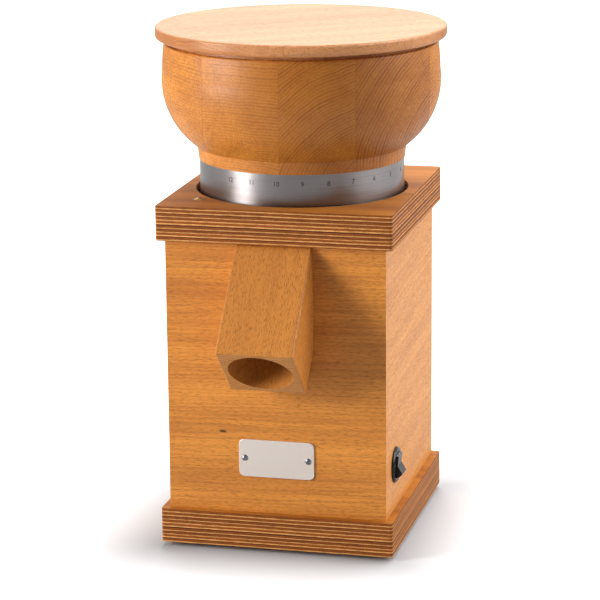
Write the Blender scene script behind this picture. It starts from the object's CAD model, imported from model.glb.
import math

import bmesh
import bpy
from mathutils import Matrix, Vector


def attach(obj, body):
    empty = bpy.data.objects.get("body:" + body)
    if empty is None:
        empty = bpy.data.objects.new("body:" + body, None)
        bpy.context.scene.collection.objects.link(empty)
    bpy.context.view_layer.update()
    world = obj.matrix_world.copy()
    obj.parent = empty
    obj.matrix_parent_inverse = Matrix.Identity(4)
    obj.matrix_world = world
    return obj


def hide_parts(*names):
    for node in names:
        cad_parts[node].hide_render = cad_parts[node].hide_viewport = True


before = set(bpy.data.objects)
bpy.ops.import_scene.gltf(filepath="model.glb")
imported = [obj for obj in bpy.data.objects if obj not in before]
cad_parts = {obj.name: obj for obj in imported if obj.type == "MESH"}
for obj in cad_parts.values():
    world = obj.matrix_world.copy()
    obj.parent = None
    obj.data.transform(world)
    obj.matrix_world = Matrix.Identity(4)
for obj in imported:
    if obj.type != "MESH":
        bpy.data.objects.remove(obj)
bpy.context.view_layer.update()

mm = 0.001
print("frame loaded:", len(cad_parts), "nodes")


def linearOf(hexText):
    values = [int(hexText[i:i + 2], 16) / 255 for i in (1, 3, 5)]
    return [v / 12.92 if v <= 0.04045 else ((v + 0.055) / 1.055) ** 2.4 for v in values] + [1]


def fillInputs(tree, node, inputs):
    # a node or socket is linked, a hex colour turns linear, and anything else is set as it is
    for key, value in inputs.items():
        if isinstance(value, bpy.types.Node):
            value = next(output for output in value.outputs if output.enabled)
        if isinstance(value, bpy.types.NodeSocket):
            tree.links.new(value, node.inputs[key])
        else:
            node.inputs[key].default_value = linearOf(value) if isinstance(value, str) else value


def addNode(tree, kind, inputs=None, stops=(), **settings):
    # one node with its settings and links; stops are a ramp's places with a hex colour, a grey or four values
    node = tree.nodes.new(kind)
    for name, value in settings.items():
        setattr(node, name, value)
    while stops and len(node.color_ramp.elements) < len(stops):
        node.color_ramp.elements.new(0.5)
    for number, (place, colour) in enumerate(stops):
        node.color_ramp.elements[number].position = place
        if isinstance(colour, str):
            colour = linearOf(colour)
        elif isinstance(colour, float):
            colour = (colour, colour, colour, 1)
        node.color_ramp.elements[number].color = colour
    fillInputs(tree, node, inputs or {})
    return node


def newMaterial(name, metallic=0.0, roughness=0.5, **constants):
    material = bpy.data.materials.new(name)
    material.use_nodes = True
    shader = material.node_tree.nodes["Principled BSDF"]
    shader.inputs["Metallic"].default_value = metallic
    shader.inputs["Roughness"].default_value = roughness
    for key, value in constants.items():
        shader.inputs[key.replace("_", " ")].default_value = value
    return material, material.node_tree, shader


beechLook = {
    "light": "#de9139", "dark": "#ac6423", "late": "#94521a",  # oiled steamed beech, honey over red-brown
    "endGrain": "#7d4212", "endLight": "#a8641f",
    "fleck": "#6e380f",  # rays and pores, short brown dashes along the grain
    "ringSpacing": 2.6 * mm, "ringWobble": 7 * mm,
    "wobbleScale": (9, 28, 28), "fadeScale": (14, 45, 45),  # per metre, along and across the grain
    "fleckLong": 4.2 * mm, "fleckWide": 0.7 * mm,  # twice the real size, so that they show at this distance
    "streakLong": 90 * mm, "streakWide": 2.6 * mm,
    "cloudLong": 260 * mm, "cloudWide": 15 * mm, "cloudWeight": 0.6,
    "lateShare": 0.34, "fleckShare": 0.42, "endShare": 0.7, "cloudShare": 0.7,
    "boardShift": (0, 3.1, 1.7),  # moves the pattern on from board to board
    "boardShare": 0.5, "seamWide": 0.4 * mm, "seamShare": 0.3,
    "knotWide": 1.1 * mm, "knotStretch": (0.33, 0.33, 1), "knotColour": "#4a2810",
    "bump": 0.25, "bumpDepth": 0.06 * mm, "ringHeight": 0.3,
}


def grainRotation(grain, across):
    # turns the grain's direction to X and the boards' width to Y
    along = Vector(grain).normalized()
    side = (Vector(across) - along * along.dot(Vector(across))).normalized()
    return Matrix((along, side, along.cross(side))).to_euler()


def makeBeech(name, grain, across, pith, look=None, boards=None, knot=None, roughness=0.42, gloss=0.35):
    # solid beech: growth rings round a pith line, so faces, sides and end grain agree as on a real block
    # boards gives the first joint, the boards' width and, for each board, its pith across and down, its shade
    # and how clearly its growth rings show
    size = dict(beechLook, **(look or {}))
    material, tree, shader = newMaterial(name, roughness=roughness, Specular_IOR_Level=gloss)
    spot = addNode(tree, "ShaderNodeTexCoord")
    place = addNode(tree, "ShaderNodeMapping", {
        "Vector": spot.outputs["Object"], "Rotation": grainRotation(grain, across)})
    if boards:
        start, width, piths = boards
        sides = addNode(tree, "ShaderNodeSeparateXYZ", {0: place})
        fromStart = addNode(tree, "ShaderNodeMath", {0: sides.outputs[1], 1: start}, operation="SUBTRACT")
        counted = addNode(tree, "ShaderNodeMath", {0: fromStart, 1: width}, operation="DIVIDE")
        whole = addNode(tree, "ShaderNodeMath", {0: counted}, operation="FLOOR")
        middle = addNode(tree, "ShaderNodeMath", {0: whole, 1: 0.5}, operation="ADD")
        share = addNode(tree, "ShaderNodeMath", {0: middle, 1: len(piths)}, operation="DIVIDE")
        chosen = addNode(tree, "ShaderNodeValToRGB", {"Fac": share}, [
            (number / len(piths), (rings, side + 0.5, level + 0.5, shade))  # above 0, as a colour has to be
            for number, (side, level, shade, rings) in enumerate(piths)])
        chosen.color_ramp.interpolation = "CONSTANT"
        board = chosen.outputs["Color"]
        shift = addNode(tree, "ShaderNodeVectorMath", {0: board, 1: size["boardShift"]}, operation="MULTIPLY")
        place = addNode(tree, "ShaderNodeVectorMath", {0: place, 1: shift}, operation="ADD")
        pith = addNode(tree, "ShaderNodeVectorMath", {
            0: board, 1: (0, 1, 1), 2: (0, -0.5, -0.5)}, operation="MULTIPLY_ADD")
        pith = addNode(tree, "ShaderNodeVectorMath", {0: pith, 1: shift}, operation="ADD")
        part = addNode(tree, "ShaderNodeMath", {0: counted}, operation="FRACT")
        offCentre = addNode(tree, "ShaderNodeMath", {0: part, 1: 0.5}, operation="SUBTRACT")
        edge = addNode(tree, "ShaderNodeMath", {0: offCentre}, operation="ABSOLUTE")
        seam = addNode(tree, "ShaderNodeMath", {
            0: edge, 1: 0.5 - size["seamWide"] / 2 / width}, operation="GREATER_THAN")

    # growth rings: the distance from a wavy pith line, cut into years of uneven strength
    wobbleAt = addNode(tree, "ShaderNodeVectorMath", {0: place, 1: size["wobbleScale"]}, operation="MULTIPLY")
    wobble = addNode(tree, "ShaderNodeTexNoise", {"Vector": wobbleAt, "Scale": 1.0, "Detail": 4.0})
    wave = addNode(tree, "ShaderNodeVectorMath", {
        0: wobble.outputs["Color"], 1: (0.5, 0.5, 0.5)}, operation="SUBTRACT")
    wave = addNode(tree, "ShaderNodeVectorMath", {
        0: wave, 1: (0, size["ringWobble"], size["ringWobble"])}, operation="MULTIPLY")
    bent = addNode(tree, "ShaderNodeVectorMath", {0: place, 1: wave}, operation="ADD")
    spoke = addNode(tree, "ShaderNodeVectorMath", {0: bent, 1: pith}, operation="SUBTRACT")
    spoke = addNode(tree, "ShaderNodeVectorMath", {0: spoke, 1: (0.02, 1, 1)}, operation="MULTIPLY")
    radial = addNode(tree, "ShaderNodeVectorMath", {0: spoke}, operation="LENGTH")
    years = addNode(tree, "ShaderNodeMath", {0: radial, 1: size["ringSpacing"]}, operation="DIVIDE")
    season = addNode(tree, "ShaderNodeMath", {0: years}, operation="FRACT")
    growth = addNode(tree, "ShaderNodeValToRGB", {"Fac": season}, [
        (0.0, 0.1), (0.45, 0.2), (0.72, 1.0), (0.88, 1.0), (1.0, 0.1)])
    year = addNode(tree, "ShaderNodeMath", {0: years}, operation="FLOOR")
    chance = addNode(tree, "ShaderNodeTexWhiteNoise", {"W": year}, noise_dimensions="1D")
    strength = addNode(tree, "ShaderNodeValToRGB", {"Fac": chance}, [(0.0, 0.35), (0.8, 1.0)])
    late = addNode(tree, "ShaderNodeMath", {0: growth, 1: strength}, operation="MULTIPLY")

    # clouds, streaks and flecks, each a noise stretched along the grain
    patterns = {}
    for label, detail in (("cloud", 3.0), ("fleck", 1.0), ("streak", 2.0)):
        across = 1 / size[label + "Wide"]
        stretched = addNode(tree, "ShaderNodeVectorMath", {
            0: place, 1: (1 / size[label + "Long"], across, across)}, operation="MULTIPLY")
        patterns[label] = addNode(tree, "ShaderNodeTexNoise", {
            "Vector": stretched, "Scale": 1.0, "Detail": detail})
    fleck = addNode(tree, "ShaderNodeValToRGB", {"Fac": patterns["fleck"]}, [(0.5, 0.0), (0.72, 1.0)])
    clouds = addNode(tree, "ShaderNodeMath", {
        0: patterns["cloud"], 1: size["cloudWeight"]}, operation="MULTIPLY")
    streaks = addNode(tree, "ShaderNodeMath", {
        0: patterns["streak"], 1: 1 - size["cloudWeight"]}, operation="MULTIPLY")
    shade = addNode(tree, "ShaderNodeMath", {0: clouds, 1: streaks}, operation="ADD")
    shade = addNode(tree, "ShaderNodeValToRGB", {"Fac": shade}, [(0.38, 0.0), (0.66, 1.0)])
    shade = addNode(tree, "ShaderNodeMath", {0: shade, 1: size["cloudShare"]}, operation="MULTIPLY")
    fadeAt = addNode(tree, "ShaderNodeVectorMath", {0: place, 1: size["fadeScale"]}, operation="MULTIPLY")
    fading = addNode(tree, "ShaderNodeTexNoise", {"Vector": fadeAt, "Scale": 1.0, "Detail": 1.0})
    fading = addNode(tree, "ShaderNodeValToRGB", {"Fac": fading}, [(0.36, 0.35), (0.6, 1.0)])
    clear = addNode(tree, "ShaderNodeMath", {0: fading, 1: size["lateShare"]}, operation="MULTIPLY")
    if boards:
        rings = addNode(tree, "ShaderNodeSeparateColor", {0: board})
        clear = addNode(tree, "ShaderNodeMath", {0: clear, 1: rings}, operation="MULTIPLY")
    clear = addNode(tree, "ShaderNodeMath", {0: late, 1: clear}, operation="MULTIPLY")
    flecked = addNode(tree, "ShaderNodeMath", {0: fleck, 1: size["fleckShare"]}, operation="MULTIPLY")

    # end grain where the surface faces along the grain
    facing = addNode(tree, "ShaderNodeVectorMath", {
        0: spot.outputs["Normal"], 1: tuple(Vector(grain).normalized())}, operation="DOT_PRODUCT")
    facing = addNode(tree, "ShaderNodeMath", {0: facing}, operation="ABSOLUTE")
    ends = addNode(tree, "ShaderNodeValToRGB", {"Fac": facing}, [(0.45, 0.0), (0.95, 1.0)])
    ends = addNode(tree, "ShaderNodeMath", {0: ends, 1: size["endShare"]}, operation="MULTIPLY")
    endTone = addNode(tree, "ShaderNodeMix", {
        0: late, 6: size["endLight"], 7: size["endGrain"]}, data_type="RGBA")

    layers = [(shade, size["dark"]), (clear, size["late"]), (flecked, size["fleck"]), (ends, endTone)]
    if boards:
        tint = addNode(tree, "ShaderNodeMath", {
            0: chosen.outputs["Alpha"], 1: size["boardShare"]}, operation="MULTIPLY")
        line = addNode(tree, "ShaderNodeMath", {0: seam, 1: size["seamShare"]}, operation="MULTIPLY")
        layers += [(tint, size["late"]), (line, size["fleck"])]
    if knot:
        away = addNode(tree, "ShaderNodeVectorMath", {
            0: spot.outputs["Object"], 1: knot}, operation="SUBTRACT")
        away = addNode(tree, "ShaderNodeVectorMath", {0: away, 1: size["knotStretch"]}, operation="MULTIPLY")
        away = addNode(tree, "ShaderNodeVectorMath", {0: away}, operation="LENGTH")
        away = addNode(tree, "ShaderNodeMath", {0: away, 1: size["knotWide"]}, operation="DIVIDE")
        dot = addNode(tree, "ShaderNodeValToRGB", {"Fac": away}, [(0.5, 1.0), (1.0, 0.0)])
        layers.append((dot, size["knotColour"]))
    base = size["light"]
    for share, colour in layers:
        base = addNode(tree, "ShaderNodeMix", {0: share, 6: base, 7: colour}, data_type="RGBA")
    sheen = addNode(tree, "ShaderNodeMapRange", {
        "Value": patterns["fleck"], "From Min": 0.3, "From Max": 0.7,
        "To Min": roughness - 0.05, "To Max": roughness + 0.1})
    ridges = addNode(tree, "ShaderNodeMath", {0: late, 1: size["ringHeight"]}, operation="MULTIPLY")
    ridges = addNode(tree, "ShaderNodeMath", {0: ridges, 1: fleck}, operation="SUBTRACT")
    bump = addNode(tree, "ShaderNodeBump", {
        "Height": ridges, "Strength": size["bump"], "Distance": size["bumpDepth"]})
    fillInputs(tree, shader, {"Base Color": base, "Roughness": sheen, "Normal": bump})
    return material


multiplexLook = {
    "pair": 2.78 * mm,  # one light and one dark ply, nine pairs in 25 mm
    "light": "#e8a35c", "dark": "#9a511c", "glue": "#3e1b06", "face": "#bd782a", "faceDark": "#94561a",
    "waveScale": (14, 14, 60), "waveHigh": 0.8 * mm,  # plies are never quite even
    "streakScale": (160, 160, 1300), "poreScale": (900, 900, 900), "veneerScale": (6, 55, 55),
    "dashScale": (220, 1300, 1300),
    "streakShare": 0.4, "poreShare": 0.25, "chanceShare": 0.25, "dashShare": 0.3,
    "bump": 0.2, "bumpDepth": 0.08 * mm,
}


def makeMultiplex(name, bottom, offset):
    # rotary-cut beech plies: long-grain edges are light, crossed plies show dark end grain, glue between
    look = multiplexLook
    material, tree, shader = newMaterial(name, roughness=0.62, Specular_IOR_Level=0.16)
    spot = addNode(tree, "ShaderNodeTexCoord")
    patterns = {}
    for label, detail in (("wave", 2.0), ("streak", 2.0), ("pore", 1.0), ("veneer", 3.0), ("dash", 1.0)):
        stretched = addNode(tree, "ShaderNodeVectorMath", {
            0: spot.outputs["Object"], 1: look[label + "Scale"]}, operation="MULTIPLY")
        patterns[label] = addNode(tree, "ShaderNodeTexNoise", {
            "Vector": stretched, "Scale": 1.0, "Detail": detail})

    # the edge: which pair of plies, how far up in it, and a chance width and shade for each pair
    parts = addNode(tree, "ShaderNodeSeparateXYZ", {0: spot.outputs["Object"]})
    wave = addNode(tree, "ShaderNodeMath", {0: patterns["wave"], 1: look["waveHigh"]}, operation="MULTIPLY")
    height = addNode(tree, "ShaderNodeMath", {0: parts.outputs[2], 1: wave}, operation="ADD")
    height = addNode(tree, "ShaderNodeMath", {0: height, 1: bottom + offset}, operation="SUBTRACT")
    counted = addNode(tree, "ShaderNodeMath", {0: height, 1: look["pair"]}, operation="DIVIDE")
    pair = addNode(tree, "ShaderNodeMath", {0: counted}, operation="FLOOR")
    chance = addNode(tree, "ShaderNodeTexWhiteNoise", {"W": pair}, noise_dimensions="1D")
    width = addNode(tree, "ShaderNodeMapRange", {"Value": chance, "To Min": -0.1, "To Max": 0.12})
    ply = addNode(tree, "ShaderNodeMath", {0: counted}, operation="FRACT")
    ply = addNode(tree, "ShaderNodeMath", {0: ply, 1: width}, operation="ADD")
    edge = addNode(tree, "ShaderNodeValToRGB", {"Fac": ply}, [
        (0.0, look["glue"]), (0.07, look["light"]), (0.36, look["light"]), (0.44, look["glue"]),
        (0.52, look["dark"]), (0.92, look["dark"]), (1.0, look["glue"])])
    streaks = addNode(tree, "ShaderNodeValToRGB", {"Fac": patterns["streak"]}, [(0.4, 0.0), (0.68, 1.0)])
    pores = addNode(tree, "ShaderNodeValToRGB", {"Fac": patterns["pore"]}, [(0.5, 0.0), (0.7, 1.0)])
    for pattern, share in ((streaks, "streakShare"), (pores, "poreShare"), (chance, "chanceShare")):
        amount = addNode(tree, "ShaderNodeMath", {0: pattern, 1: look[share]}, operation="MULTIPLY")
        edge = addNode(tree, "ShaderNodeMix", {0: amount, 6: edge, 7: look["glue"]}, data_type="RGBA")

    # the broad faces: one sheet of veneer
    veneer = addNode(tree, "ShaderNodeValToRGB", {"Fac": patterns["veneer"]}, [(0.38, 0.0), (0.68, 1.0)])
    face = addNode(tree, "ShaderNodeMix", {0: veneer, 6: look["face"], 7: look["faceDark"]}, data_type="RGBA")
    dashes = addNode(tree, "ShaderNodeValToRGB", {"Fac": patterns["dash"]}, [(0.55, 0.0), (0.72, 1.0)])
    amount = addNode(tree, "ShaderNodeMath", {0: dashes, 1: look["dashShare"]}, operation="MULTIPLY")
    face = addNode(tree, "ShaderNodeMix", {0: amount, 6: face, 7: look["dark"]}, data_type="RGBA")
    upward = addNode(tree, "ShaderNodeVectorMath", {
        0: spot.outputs["Normal"], 1: (0, 0, 1)}, operation="DOT_PRODUCT")
    upward = addNode(tree, "ShaderNodeMath", {0: upward}, operation="ABSOLUTE")
    flat = addNode(tree, "ShaderNodeMath", {0: upward, 1: 0.8}, operation="GREATER_THAN")
    base = addNode(tree, "ShaderNodeMix", {0: flat, 6: edge, 7: face}, data_type="RGBA")
    ridges = addNode(tree, "ShaderNodeMath", {0: patterns["streak"], 1: ply}, operation="ADD")
    bump = addNode(tree, "ShaderNodeBump", {
        "Height": ridges, "Strength": look["bump"], "Distance": look["bumpDepth"]})
    fillInputs(tree, shader, {"Base Color": base, "Normal": bump})
    return material


viewYaw = math.radians(13.891)
depthWay = (-math.sin(viewYaw), math.cos(viewYaw), 0)
sideWay = (math.cos(viewYaw), math.sin(viewYaw), 0)
spoutLean = math.radians(47)
spoutWay = (0, -math.cos(spoutLean), -math.sin(spoutLean))
lidTurn = math.radians(34)
lidWay = (math.cos(lidTurn), math.sin(lidTurn), 0)

woods = {
    "front_panel": makeBeech("beechFront", (1, 0, 0.03), (0, 0, 1), (0, 0.09, 0.09),
                             knot=(-39.3 * mm, -83.5 * mm, 87.7 * mm)),
    "rear_panel": makeBeech("beechRear", (1, 0, 0.02), (0, 0, 1), (0, 0.05, -0.03)),
    "left_panel": makeBeech("beechLeft", (0, 1, 0.02), (0, 0, 1), (0, 0.12, 0.06)),
    "right_panel": makeBeech("beechRight", (0, 1, 0.05), (0, 0, 1), (0, 0.16, 0.11), look={
        "light": "#dd9546", "cloudShare": 0.45, "fleckShare": 0.32}),
    "corner_blocks": makeBeech("beechBlocks", (0, 0, 1), (1, 0, 0), (0, 0.03, 0.02)),
    "spout": makeBeech("beechSpout", spoutWay, (1, 0, 0), (0, 0.05, 0.07), look={
        "light": "#ca8238", "dark": "#a36427", "cloudShare": 0.45, "lateShare": 0.2, "fleckShare": 0.55,
        "fleckLong": 3 * mm, "fleckWide": 0.6 * mm, "endGrain": "#9c6630", "endLight": "#c88f56"}),
    "hopper_bowl": makeBeech("beechBowl", depthWay, sideWay, None, boards=(-122 * mm, 53 * mm, [
        (-0.10, -0.22, 0.2, 0.4), (-0.045, -0.12, 0.0, 0.25), (0.062, -0.245, 0.25, 0.6),
        (0.15, -0.27, 0.6, 1.0), (0.2, -0.2, 0.3, 0.6)]), look={
            "ringSpacing": 2.2 * mm, "lateShare": 1.0, "endShare": 0.6, "fleckShare": 0.65,
            "late": "#7d3f10"}),
    "lid": makeBeech("beechLid", lidWay, (-lidWay[1], lidWay[0], 0), None, boards=(-167 * mm, 74 * mm, [
        (-0.1, 0.31, 0.1, 0.7), (-0.04, 0.30, 0.0, 0.5), (0.04, 0.32, 0.25, 0.8), (0.1, 0.31, 0.1, 0.6)]),
        look={"light": "#dc9a62", "dark": "#b87444"}, roughness=0.4, gloss=0.42),
    "base_plate": makeMultiplex("beechPlyBase", 3.5 * mm, 0.4 * mm),
    "top_plate": makeMultiplex("beechPlyTop", 226 * mm, 0.9 * mm),
}
print("woods made")


brushedLook = {"acrossLines": 3200, "alongLines": 14, "smoother": 0.02, "rougher": 0.03, "anisotropy": 0.6}


def makeBrushedRing(name, colour, darker, roughness):
    # stainless brushed round the ring: fine scratches, and a quarter turn spreads the highlight across them
    look = brushedLook
    material, tree, shader = newMaterial(name, metallic=1.0, roughness=roughness,
                                         Anisotropic=look["anisotropy"], Anisotropic_Rotation=0.25)
    spot = addNode(tree, "ShaderNodeTexCoord")
    scratched = addNode(tree, "ShaderNodeVectorMath", {
        0: spot.outputs["Object"], 1: (look["alongLines"], look["alongLines"], look["acrossLines"])},
        operation="MULTIPLY")
    lines = addNode(tree, "ShaderNodeTexNoise", {"Vector": scratched, "Scale": 1.0})
    tone = addNode(tree, "ShaderNodeValToRGB", {"Fac": lines}, [(0.3, 0.0), (0.7, 1.0)])
    base = addNode(tree, "ShaderNodeMix", {0: tone, 6: darker, 7: colour}, data_type="RGBA")
    rough = addNode(tree, "ShaderNodeMapRange", {
        "Value": lines, "To Min": roughness - look["smoother"], "To Max": roughness + look["rougher"]})
    tangent = addNode(tree, "ShaderNodeTangent", direction_type="RADIAL", axis="Z")
    fillInputs(tree, shader, {"Base Color": base, "Roughness": rough, "Tangent": tangent})
    return material


def makeMetal(name, colour, darker, roughness, grain, bump=0.2, depth=0.05):
    # plated, cast or drawn metal: spots of the grain's size vary its tone, gloss and height
    material, tree, shader = newMaterial(name, metallic=1.0, roughness=roughness)
    spot = addNode(tree, "ShaderNodeTexCoord")
    spots = addNode(tree, "ShaderNodeTexNoise", {"Vector": spot.outputs["Object"], "Scale": 1 / grain})
    tone = addNode(tree, "ShaderNodeValToRGB", {"Fac": spots}, [(0.35, 0.0), (0.68, 1.0)])
    base = addNode(tree, "ShaderNodeMix", {0: tone, 6: colour, 7: darker}, data_type="RGBA")
    rough = addNode(tree, "ShaderNodeMapRange", {
        "Value": spots, "To Min": roughness - 0.08, "To Max": roughness + 0.12})
    relief = addNode(tree, "ShaderNodeBump", {"Height": spots, "Strength": bump, "Distance": depth * mm})
    fillInputs(tree, shader, {"Base Color": base, "Roughness": rough, "Normal": relief})
    return material


def makePlain(name, colour, darker, roughness, grain, bump=0.15, depth=0.04, **constants):
    # moulded, painted or felted surface: spots of the grain's size vary its tone and height
    material, tree, shader = newMaterial(name, roughness=roughness, **constants)
    spot = addNode(tree, "ShaderNodeTexCoord")
    spots = addNode(tree, "ShaderNodeTexNoise", {
        "Vector": spot.outputs["Object"], "Scale": 1 / grain, "Detail": 3.0})
    tone = addNode(tree, "ShaderNodeValToRGB", {"Fac": spots}, [(0.3, 0.0), (0.72, 1.0)])
    base = addNode(tree, "ShaderNodeMix", {0: tone, 6: colour, 7: darker}, data_type="RGBA")
    relief = addNode(tree, "ShaderNodeBump", {"Height": spots, "Strength": bump, "Distance": depth * mm})
    fillInputs(tree, shader, {"Base Color": base, "Normal": relief})
    return material


def makeStone(gritSize, pitDepth):
    # corundum grit in a magnesite bond: pale grey-beige with darker grains
    material, tree, shader = newMaterial("corundumStone", roughness=0.85)
    spot = addNode(tree, "ShaderNodeTexCoord")
    grit = addNode(tree, "ShaderNodeTexVoronoi", {"Vector": spot.outputs["Object"], "Scale": 1 / gritSize})
    chance = addNode(tree, "ShaderNodeSeparateColor", {0: grit.outputs["Color"]})
    tone = addNode(tree, "ShaderNodeValToRGB", {"Fac": chance}, [
        (0.0, "#8f8578"), (0.45, "#bdb3a3"), (1.0, "#d8d0c2")])
    relief = addNode(tree, "ShaderNodeBump", {
        "Height": grit.outputs["Distance"], "Strength": 0.5, "Distance": pitDepth})
    fillInputs(tree, shader, {"Base Color": tone, "Normal": relief})
    return material


def makeLamination(sheetThick):
    # punched electrical sheet, stacked: fine lines round the pack
    material, tree, shader = newMaterial("electricalSheet", metallic=1.0, roughness=0.5)
    spot = addNode(tree, "ShaderNodeTexCoord")
    parts = addNode(tree, "ShaderNodeSeparateXYZ", {0: spot.outputs["Object"]})
    counted = addNode(tree, "ShaderNodeMath", {0: parts.outputs[2], 1: sheetThick}, operation="DIVIDE")
    sheet = addNode(tree, "ShaderNodeMath", {0: counted}, operation="FRACT")
    tone = addNode(tree, "ShaderNodeValToRGB", {"Fac": sheet}, [
        (0.0, "#26262a"), (0.2, "#6c6d72"), (0.8, "#7b7c82"), (1.0, "#26262a")])
    relief = addNode(tree, "ShaderNodeBump", {"Height": sheet, "Strength": 0.3, "Distance": 0.1 * mm})
    fillInputs(tree, shader, {"Base Color": tone, "Normal": relief})
    return material


finishes = {
    "ring": makeBrushedRing("brushedStainlessRing", "#9c9796", "#8d8887", 0.29),
    "plate": makeMetal("blastedStainless", "#e9dfd6", "#d6ccc3", 0.5, 0.5 * mm, bump=0.25, depth=0.03),
    "zinc": makeMetal("zincPlatedSteel", "#a5a7ab", "#66696e", 0.28, 1.5 * mm),
    "steel": makeMetal("groundSteel", "#c9cbce", "#9fa1a5", 0.22, 2 * mm, bump=0.05),
    "brass": makeMetal("satinBrass", "#cfb27a", "#94753f", 0.3, 1.2 * mm),
    "casting": makeMetal("castAluminium", "#b9bbbd", "#8f9193", 0.5, 0.7 * mm, bump=0.5, depth=0.15),
    "can": makeMetal("drawnAluminium", "#cfd0d2", "#b0b2b5", 0.35, 3 * mm, bump=0.05),
    "copper": makeMetal("enamelledCopper", "#b8622f", "#7c3a18", 0.3, 0.9 * mm, bump=0.3),
    "sheet": makeLamination(1.0 * mm),  # twice the real 0.5 mm, so that it shows
    "paint": makePlain("hammerPaint", "#3b4147", "#2b3035", 0.4, 1.6 * mm, bump=0.4, depth=0.12),
    "rubber": makePlain("mouldedRubber", "#1d1c1b", "#2c2a28", 0.75, 0.8 * mm, bump=0.3),
    "switch": makePlain("glossyPolyamide", "#0c0b0a", "#151211", 0.26, 0.6 * mm, bump=0.04,
                        Specular_IOR_Level=0.3),
    "gland": makePlain("mattPolyamide", "#1b1b1c", "#262627", 0.5, 0.8 * mm),
    "nylon": makePlain("naturalNylon", "#ded9cc", "#cbc5b6", 0.45, 1.2 * mm),
    "felt": makePlain("woolFelt", "#d9d3c4", "#b3ab99", 0.95, 0.5 * mm, bump=0.8, depth=0.3),
    "stone": makeStone(1.1 * mm, 0.3 * mm),
    "ink": makePlain("etchedMark", "#2b2725", "#403b38", 0.6, 0.5 * mm),
}

nodeFinish = {
    "scale_ring": "ring", "nameplate": "plate", "nameplate_screws": "zinc", "pointer_screw": "brass",
    "foot_screws": "zinc", "chamber_screws": "zinc", "hopper_screws_set": "zinc", "motor_screws": "zinc",
    "motor_bolts": "zinc", "drive_bolt": "zinc", "stirrer": "steel", "motor_shaft": "steel",
    "upper_bearing": "steel", "lower_bearing": "steel", "mill_chamber": "casting", "lower_carrier": "casting",
    "threaded_collar": "casting", "capacitor": "can", "windings": "copper", "switch_terminals": "copper",
    "stator": "sheet", "rotor_core": "sheet", "motor_housing": "paint", "upper_bell": "paint",
    "lower_bell": "paint", "feet": "rubber", "switch_body": "switch", "rocker": "switch",
    "cable_gland": "gland", "gland_nut": "gland", "capacitor_clip": "nylon", "terminal_block": "nylon",
    "cooling_fan": "nylon", "felt_seal": "felt", "shaft_seal": "felt", "lower_stone": "stone",
    "upper_stone": "stone",
}

for name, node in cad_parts.items():
    finish = woods.get(name) or finishes[nodeFinish[name]]
    node.data.materials.clear()
    node.data.materials.append(finish)
print("materials on", len(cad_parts), "nodes")


def addObject(name, data):
    thing = bpy.data.objects.new(name, data)
    bpy.context.scene.collection.objects.link(thing)
    return thing


def meshFrom(thing):
    # the evaluated shape as a plain mesh
    return bpy.data.meshes.new_from_object(thing.evaluated_get(bpy.context.evaluated_depsgraph_get()))


scaleMarks = {
    "radius": 73.85 * mm, "baseline": 265.2 * mm, "tall": 3.5 * mm, "proud": 0.03 * mm, "bold": 0.08 * mm,
    "fontShare": 0.73,  # the height of the font's figures over its size
    "count": 12, "step": math.radians(14.4), "front": 9,  # this number faces the viewer at the coarse end
}


def makeNumbers(size):
    merged = bmesh.new()
    for number in range(1, size["count"] + 1):
        curve = bpy.data.curves.new(f"number{number}", "FONT")
        curve.body = str(number)
        curve.align_x = "CENTER"
        curve.size = size["tall"] / size["fontShare"]
        curve.offset = size["bold"]
        text = addObject(f"number{number}", curve)
        mesh = meshFrom(text)
        middle = viewYaw - math.pi / 2 + (size["front"] - number) * size["step"]
        radius = size["radius"] + size["proud"]
        for vertex in mesh.vertices:
            angle = middle + vertex.co.x / radius
            vertex.co = (radius * math.cos(angle), radius * math.sin(angle), size["baseline"] + vertex.co.y)
        merged.from_mesh(mesh)
        bpy.data.objects.remove(text)
    mesh = bpy.data.meshes.new("scaleNumbers")
    merged.to_mesh(mesh)
    merged.free()
    mesh.materials.append(finishes["ink"])
    piece = addObject("scaleNumbers", mesh)
    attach(piece, "hopper")


makeNumbers(scaleMarks)
print("scale numbered")


def newTree(name, inputs):
    tree = bpy.data.node_groups.new(name, "GeometryNodeTree")
    tree.interface.new_socket("Geometry", in_out="INPUT", socket_type="NodeSocketGeometry")
    for label, kind in inputs.items():
        tree.interface.new_socket(label, in_out="INPUT", socket_type="NodeSocket" + kind)
    tree.interface.new_socket("Geometry", in_out="OUTPUT", socket_type="NodeSocketGeometry")
    return tree, tree.nodes.new("NodeGroupInput").outputs, tree.nodes.new("NodeGroupOutput")


def runTree(name, tree, points, values, finish, body, stands):
    # runs a tree on loose points, keeps the result as a plain mesh and lets it stand for a CAD node
    seed = bpy.data.meshes.new(name + "Points")
    seed.from_pydata(points, [], [])
    carrier = addObject(name + "Points", seed)
    modifier = carrier.modifiers.new("make", "NODES")
    modifier.node_group = tree
    sockets = {item.name: item.identifier for item in tree.interface.items_tree if item.in_out == "INPUT"}
    for label, value in dict(values, Material=finish).items():
        modifier[sockets[label]] = value
    mesh = meshFrom(carrier)
    bpy.data.objects.remove(carrier)
    finishPiece(name, mesh, body, stands, math.radians(35))


def finishPiece(name, mesh, body, stands, sharpAngle):
    mesh.name = name
    for face in mesh.polygons:
        face.use_smooth = True
    mesh.set_sharp_from_angle(angle=sharpAngle)
    piece = addObject(name, mesh)
    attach(piece, body)
    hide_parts(stands)


screwLook = {
    "ballSides": 48, "rimSides": 40, "shankSides": 24,
    "rimShare": 0.995,  # the rod that trims the ball stays a little inside the head's radius
    "rodTall": 2.2,  # the rod's height over the head's, so that it passes out of the top
}


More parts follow.
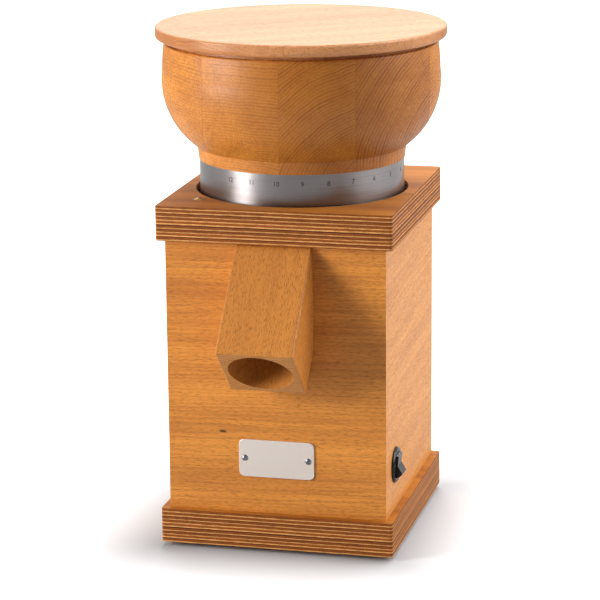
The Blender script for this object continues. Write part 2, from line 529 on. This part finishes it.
def makeScrewTree(name, slots, countersunk):
    # one screw, its head up, set on every point: domed or countersunk head, one slot or a cross
    look = screwLook
    tree, size, result = newTree(name, {
        "Head Radius": "Float", "Head Height": "Float", "Shank Radius": "Float", "Shank Length": "Float",
        "Slot Width": "Float", "Slot Depth": "Float", "Slot Length": "Float", "Slot Turn": "Float",
        "Aim": "Vector", "Material": "Material"})
    radius, height = size["Head Radius"], size["Head Height"]
    if countersunk:
        down = addNode(tree, "ShaderNodeMath", {0: height, 1: -1.0}, operation="MULTIPLY")
        sunk = addNode(tree, "ShaderNodeCombineXYZ", {2: down})
        cone = addNode(tree, "GeometryNodeMeshCone", {
            "Vertices": look["rimSides"], "Radius Top": radius, "Radius Bottom": size["Shank Radius"],
            "Depth": height})
        head = addNode(tree, "GeometryNodeTransform", {"Geometry": cone, "Translation": sunk})
        top = 0.0
    else:
        # a ball's cap over the head's radius, trimmed by a rod
        radiusSquared = addNode(tree, "ShaderNodeMath", {0: radius, 1: 2.0}, operation="POWER")
        heightSquared = addNode(tree, "ShaderNodeMath", {0: height, 1: 2.0}, operation="POWER")
        squares = addNode(tree, "ShaderNodeMath", {0: radiusSquared, 1: heightSquared}, operation="ADD")
        twice = addNode(tree, "ShaderNodeMath", {0: height, 1: 2.0}, operation="MULTIPLY")
        ballRadius = addNode(tree, "ShaderNodeMath", {0: squares, 1: twice}, operation="DIVIDE")
        ballLevel = addNode(tree, "ShaderNodeMath", {0: height, 1: ballRadius}, operation="SUBTRACT")
        ballPlace = addNode(tree, "ShaderNodeCombineXYZ", {2: ballLevel})
        ball = addNode(tree, "GeometryNodeMeshUVSphere", {
            "Segments": look["ballSides"], "Rings": look["ballSides"], "Radius": ballRadius})
        ball = addNode(tree, "GeometryNodeTransform", {"Geometry": ball, "Translation": ballPlace})
        rodRadius = addNode(tree, "ShaderNodeMath", {0: radius, 1: look["rimShare"]}, operation="MULTIPLY")
        rodHeight = addNode(tree, "ShaderNodeMath", {0: height, 1: look["rodTall"]}, operation="MULTIPLY")
        rodLevel = addNode(tree, "ShaderNodeMath", {0: height, 1: look["rodTall"] / 2}, operation="MULTIPLY")
        rodPlace = addNode(tree, "ShaderNodeCombineXYZ", {2: rodLevel})
        rod = addNode(tree, "GeometryNodeMeshCylinder", {
            "Vertices": look["rimSides"], "Radius": rodRadius, "Depth": rodHeight})
        rod = addNode(tree, "GeometryNodeTransform", {"Geometry": rod, "Translation": rodPlace})
        head = addNode(tree, "GeometryNodeMeshBoolean", operation="INTERSECT", solver="EXACT")
        for solid in (ball, rod):
            fillInputs(tree, head, {"Mesh 2": solid})
        top = height
    bars = addNode(tree, "GeometryNodeJoinGeometry")
    barTall = addNode(tree, "ShaderNodeMath", {0: size["Slot Depth"], 1: 2.0}, operation="MULTIPLY")
    for long, wide in (("Slot Length", "Slot Width"), ("Slot Width", "Slot Length"))[:slots]:
        barSize = addNode(tree, "ShaderNodeCombineXYZ", {0: size[long], 1: size[wide], 2: barTall})
        bar = addNode(tree, "GeometryNodeMeshCube", {"Size": barSize})
        fillInputs(tree, bars, {"Geometry": bar})
    barPlace = addNode(tree, "ShaderNodeCombineXYZ", {2: top})
    barTurn = addNode(tree, "ShaderNodeCombineXYZ", {2: size["Slot Turn"]})
    turned = addNode(tree, "GeometryNodeTransform", {
        "Geometry": bars, "Translation": barPlace, "Rotation": barTurn})
    slotted = addNode(tree, "GeometryNodeMeshBoolean", operation="DIFFERENCE", solver="EXACT")
    fillInputs(tree, slotted, {"Mesh 1": head, "Mesh 2": turned, "Self Intersection": True})
    shankLevel = addNode(tree, "ShaderNodeMath", {0: size["Shank Length"], 1: -0.5}, operation="MULTIPLY")
    shankPlace = addNode(tree, "ShaderNodeCombineXYZ", {2: shankLevel})
    shank = addNode(tree, "GeometryNodeMeshCylinder", {
        "Vertices": look["shankSides"], "Radius": size["Shank Radius"], "Depth": size["Shank Length"]})
    shank = addNode(tree, "GeometryNodeTransform", {"Geometry": shank, "Translation": shankPlace})
    whole = addNode(tree, "GeometryNodeJoinGeometry")
    for solid in (slotted, shank):
        fillInputs(tree, whole, {"Geometry": solid})
    aimed = addNode(tree, "FunctionNodeEulerToRotation", {0: size["Aim"]})
    placed = addNode(tree, "GeometryNodeInstanceOnPoints", {
        "Points": size["Geometry"], "Instance": whole, "Rotation": aimed})
    real = addNode(tree, "GeometryNodeRealizeInstances", {"Geometry": placed})
    painted = addNode(tree, "GeometryNodeSetMaterial", {"Geometry": real, "Material": size["Material"]})
    fillInputs(tree, result, {"Geometry": painted})
    return tree


screwKinds = {"domedCross": (2, False), "domedSlot": (1, False), "sunkCross": (2, True)}  # slots, countersunk
screwSets = {
    # head radius and height, shank radius and length, slot length, width and depth in mm, turn in degrees
    "nameplateScrews": {
        "kind": "domedCross", "points": [(x * mm, -84.5 * mm, 69.2 * mm) for x in (-23.2, 23.2)],
        "aim": (math.pi / 2, 0, 0), "head": (2.4, 1.3), "shank": (1.2, 8), "slot": (2.9, 0.62, 0.75, 25),
        "finish": "zinc", "slotName": "screw_steel", "body": "case", "stands": "nameplate_screws"},
    "pointerScrew": {
        "kind": "domedSlot", "points": [(-60 * mm, -61 * mm, 251 * mm)],
        "aim": (0, 0, 0), "head": (4, 1.1), "shank": (1.8, 12), "slot": (9, 1.7, 1.0, -50),
        "finish": "brass", "slotName": "brass_screw", "body": "case", "stands": "pointer_screw"},
    "hopperScrews": {
        "kind": "domedCross",
        "points": [(43 * mm * math.cos(a * math.pi / 2), 43 * mm * math.sin(a * math.pi / 2), 277 * mm)
                   for a in range(4)],
        "aim": (0, 0, 0), "head": (5, 2.7), "shank": (2.5, 20), "slot": (5.4, 1.1, 1.5, 20),
        "finish": "zinc", "slotName": "screw_steel", "body": "hopper", "stands": "hopper_screws_set"},
    "footScrews": {
        "kind": "sunkCross",
        "points": [(x * mm, y * mm, 0.5 * mm) for x in (-63.5, 63.5) for y in (-67.5, 67.5)],
        "aim": (math.pi, 0, 0), "head": (5, 2.7), "shank": (2.5, 48), "slot": (5.4, 1.1, 1.6, 35),
        "finish": "zinc", "slotName": "screw_steel", "body": "case", "stands": "foot_screws"},
}


def makeScrews(sets):
    trees = {kind: makeScrewTree(kind, *shape) for kind, shape in screwKinds.items()}
    for name, item in sets.items():
        (headRadius, headHeight), (shankRadius, shankLength) = item["head"], item["shank"]
        slotLength, slotWidth, slotDepth, slotTurn = item["slot"]
        runTree(name, trees[item["kind"]], item["points"], {
            "Head Radius": headRadius * mm, "Head Height": headHeight * mm, "Shank Radius": shankRadius * mm,
            "Shank Length": shankLength * mm, "Slot Length": slotLength * mm, "Slot Width": slotWidth * mm,
            "Slot Depth": slotDepth * mm, "Slot Turn": math.radians(slotTurn), "Aim": item["aim"],
        }, finishes[item["finish"]], item["body"], item["stands"])


makeScrews(screwSets)
print("screws set")


coilLook = {
    "loops": 24, "ring": 35.5 * mm, "across": 11 * mm, "tall": 6.2 * mm, "wire": 1.5 * mm,
    "levels": (89.5 * mm, 160.5 * mm), "lean": math.radians(40), "loopSides": 28, "wireSides": 10,
}


def makeCoils(size):
    # end turns of the stator winding: overlapping loops of wire that lean round the bore
    tree, value, result = newTree("coilHeads", {
        "Loops": "Int", "Ring": "Float", "Across": "Float", "Tall": "Float", "Wire": "Float", "Lean": "Float",
        "Material": "Material"})
    loop = addNode(tree, "GeometryNodeCurvePrimitiveCircle", {"Resolution": size["loopSides"], "Radius": 1.0})
    loopSize = addNode(tree, "ShaderNodeCombineXYZ", {0: value["Across"], 1: value["Tall"], 2: 1.0})
    upright = addNode(tree, "GeometryNodeTransform", {
        "Geometry": loop, "Rotation": (math.pi / 2, 0, 0), "Scale": loopSize})
    lean = addNode(tree, "ShaderNodeCombineXYZ", {2: value["Lean"]})
    leaning = addNode(tree, "GeometryNodeTransform", {"Geometry": upright, "Rotation": lean})
    profile = addNode(tree, "GeometryNodeCurvePrimitiveCircle", {
        "Resolution": size["wireSides"], "Radius": value["Wire"]})
    strand = addNode(tree, "GeometryNodeCurveToMesh", {"Curve": leaning, "Profile Curve": profile})
    ring = addNode(tree, "GeometryNodeCurvePrimitiveCircle", {
        "Resolution": value["Loops"], "Radius": value["Ring"]})
    points = addNode(tree, "GeometryNodeCurveToPoints", {"Curve": ring}, mode="EVALUATED")
    outward = addNode(tree, "GeometryNodeInputPosition")
    turning = addNode(tree, "FunctionNodeAlignEulerToVector", {"Vector": outward}, axis="X", pivot_axis="Z")
    placed = addNode(tree, "GeometryNodeInstanceOnPoints", {
        "Points": points, "Instance": strand, "Rotation": turning})
    again = addNode(tree, "GeometryNodeInstanceOnPoints", {"Points": value["Geometry"], "Instance": placed})
    real = addNode(tree, "GeometryNodeRealizeInstances", {"Geometry": again})
    painted = addNode(tree, "GeometryNodeSetMaterial", {"Geometry": real, "Material": value["Material"]})
    fillInputs(tree, result, {"Geometry": painted})
    runTree("coilHeads", tree, [(0, 0, level) for level in size["levels"]], {
        "Loops": size["loops"], "Ring": size["ring"], "Across": size["across"] / 2, "Tall": size["tall"],
        "Wire": size["wire"], "Lean": size["lean"]}, finishes["copper"], "case", "windings")


makeCoils(coilLook)
print("coils wound")


softEdges = {  # CAD node of the case: width of the soft edge, material slot
    "nameplate": (0.3 * mm, "stainless"), "base_plate": (0.6 * mm, "multiplex"),
    "top_plate": (0.6 * mm, "multiplex"), "spout": (0.5 * mm, "beech"),
}
edgeLook = {
    "segments": 2, "weld": 0.001 * mm, "flat": math.radians(0.5), "corner": math.radians(50),
    "sharp": math.radians(20),
}


def softenEdges(edges, size):
    # the sanded or deburred edges that catch the light: a merged copy of the node with a narrow bevel
    for name, (width, slotName) in edges.items():
        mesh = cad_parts[name].data.copy()
        if "custom_normal" in mesh.attributes:
            mesh.attributes.remove(mesh.attributes["custom_normal"])
        work = bmesh.new()
        work.from_mesh(mesh)
        bmesh.ops.remove_doubles(work, verts=work.verts, dist=size["weld"])
        bmesh.ops.dissolve_limit(work, angle_limit=size["flat"], verts=work.verts, edges=work.edges)
        work.to_mesh(mesh)
        work.free()
        blank = addObject(name + "Blank", mesh)
        bevel = blank.modifiers.new("edge", "BEVEL")
        bevel.width = width
        bevel.segments = size["segments"]
        bevel.limit_method = "ANGLE"
        bevel.angle_limit = size["corner"]
        rounded = meshFrom(blank)
        bpy.data.objects.remove(blank)
        finishPiece(name + "Sanded", rounded, "case", name, size["sharp"])


softenEdges(softEdges, edgeLook)
print("edges sanded")


camera = {
    "pitch": math.radians(14.056), "roll": math.radians(-0.542), "lens": 160.64,
    "place": (0.4539, -1.8457, 0.6414), "sensor": 36, "near": 0.01, "far": 50,
}
lamps = {  # name: place, aimed at, width, height, watts
    "softboxRight": ((1.8, 0.3, 1.3), (0, 0, 0.18), 1.6, 1.5, 41),
    "softboxLeft": ((-1.75, -1.25, 0.75), (0, 0, 0.2), 0.8, 1.2, 62),
    "softboxTop": ((0.1, 1.0, 1.9), (0, 0, 0.25), 1.6, 1.2, 40),
    "softboxBack": ((-0.3, 2.5, 1.05), (0, 0, 0.37), 2.4, 0.8, 6.5),
}


def makeCamera(size):
    back = Vector((math.sin(viewYaw) * math.cos(size["pitch"]),
                   -math.cos(viewYaw) * math.cos(size["pitch"]), math.sin(size["pitch"])))
    right = Vector(sideWay)
    up = back.cross(right)
    turnedX = right * math.cos(size["roll"]) + up * math.sin(size["roll"])
    turnedY = up * math.cos(size["roll"]) - right * math.sin(size["roll"])
    lens = bpy.data.cameras.new("photoCamera")
    lens.lens = size["lens"]
    lens.sensor_width = size["sensor"]
    lens.clip_start = size["near"]
    lens.clip_end = size["far"]
    eye = addObject("photoCamera", lens)
    turn = Matrix((turnedX, turnedY, back)).transposed().to_4x4()
    eye.matrix_world = Matrix.Translation(size["place"]) @ turn
    bpy.context.scene.camera = eye


def makeLamps(sizes):
    for name, (place, target, width, height, watts) in sizes.items():
        light = bpy.data.lights.new(name, "AREA")
        light.shape = "RECTANGLE"
        light.size = width
        light.size_y = height
        light.energy = watts
        lamp = addObject(name, light)
        aim = (Vector(target) - Vector(place)).to_track_quat("-Z", "Y")
        lamp.matrix_world = Matrix.Translation(place) @ aim.to_matrix().to_4x4()


studioLook = {
    "white": (1, 1, 1, 1),
    "wallWay": (0.0, 0.9, 0.45), "wallFrom": -0.4, "wallTo": 0.6,  # where the room turns from dark to white
    "room": 0.11, "wall": 0.8,
    "wallLight": 0.55, "wallMirrored": 0.75,
    "floorHalf": 6, "floorColour": (0.5, 0.5, 0.51, 1), "floorMirrored": 0.05,
    "basePlate": (85 * mm, 89 * mm, 0), "shadowFrom": 3 * mm, "shadowTo": 105 * mm,  # out from the base plate
}


def seenDirectly(tree):
    # camera rays, and mirror or glass rays, which see the studio's white apart from its light
    path = addNode(tree, "ShaderNodeLightPath").outputs
    mirrored = addNode(tree, "ShaderNodeMath", {
        0: path["Is Glossy Ray"], 1: path["Is Transmission Ray"]}, operation="MAXIMUM")
    return path["Is Camera Ray"], mirrored


def makeStudio(size):
    # a white wall behind and a dark room in front, and the camera sees white all round
    world = bpy.data.worlds.new("studio")
    bpy.context.scene.world = world
    world.use_nodes = True
    tree = world.node_tree
    direct, mirrored = seenDirectly(tree)
    way = addNode(tree, "ShaderNodeTexCoord").outputs["Generated"]
    toWall = addNode(tree, "ShaderNodeVectorMath", {0: way, 1: size["wallWay"]}, operation="DOT_PRODUCT")
    behind = addNode(tree, "ShaderNodeMapRange", {
        "Value": toWall, "From Min": size["wallFrom"], "From Max": size["wallTo"],
        "To Min": size["room"], "To Max": size["wall"]})
    light = addNode(tree, "ShaderNodeMath", {0: behind, 1: size["wallLight"]}, operation="MULTIPLY")
    shown = addNode(tree, "ShaderNodeMath", {0: behind, 1: mirrored}, operation="MULTIPLY")
    shown = addNode(tree, "ShaderNodeMath", {0: shown, 1: size["wallMirrored"]}, operation="MULTIPLY")
    strength = addNode(tree, "ShaderNodeMath", {0: light, 1: shown}, operation="ADD")
    strength = addNode(tree, "ShaderNodeMath", {0: strength, 1: direct}, operation="MAXIMUM")
    fillInputs(tree, tree.nodes["Background"], {"Color": size["white"], "Strength": strength})

    # a floor that takes the contact shadow near the base plate and turns to white farther out
    half = size["floorHalf"]
    mesh = bpy.data.meshes.new("floor")
    mesh.from_pydata([(-half, -half, 0), (half, -half, 0), (half, half, 0), (-half, half, 0)], [],
                     [(0, 1, 2, 3)])
    floor = addObject("floor", mesh)
    material, tree, shader = newMaterial("paleFloor", roughness=0.9, Specular_IOR_Level=0.2)
    direct, mirrored = seenDirectly(tree)
    spot = addNode(tree, "ShaderNodeTexCoord").outputs["Object"]
    aside = addNode(tree, "ShaderNodeVectorMath", {0: spot}, operation="ABSOLUTE")
    beside = addNode(tree, "ShaderNodeVectorMath", {0: aside, 1: size["basePlate"]}, operation="SUBTRACT")
    beside = addNode(tree, "ShaderNodeVectorMath", {0: beside, 1: (0, 0, 0)}, operation="MAXIMUM")
    away = addNode(tree, "ShaderNodeVectorMath", {0: beside}, operation="LENGTH")
    far = addNode(tree, "ShaderNodeMapRange", {
        "Value": away, "From Min": size["shadowFrom"], "From Max": size["shadowTo"]})
    faint = addNode(tree, "ShaderNodeMath", {0: mirrored, 1: size["floorMirrored"]}, operation="MULTIPLY")
    glow = addNode(tree, "ShaderNodeMath", {0: direct, 1: faint}, operation="ADD")
    glow = addNode(tree, "ShaderNodeMath", {0: glow, 1: far}, operation="MULTIPLY")
    fillInputs(tree, shader, {
        "Base Color": size["floorColour"], "Emission Color": size["white"], "Emission Strength": glow})
    mesh.materials.append(material)


makeCamera(camera)
makeLamps(lamps)
makeStudio(studioLook)
bpy.context.scene.view_settings.view_transform = "Standard"
print("studio lit")
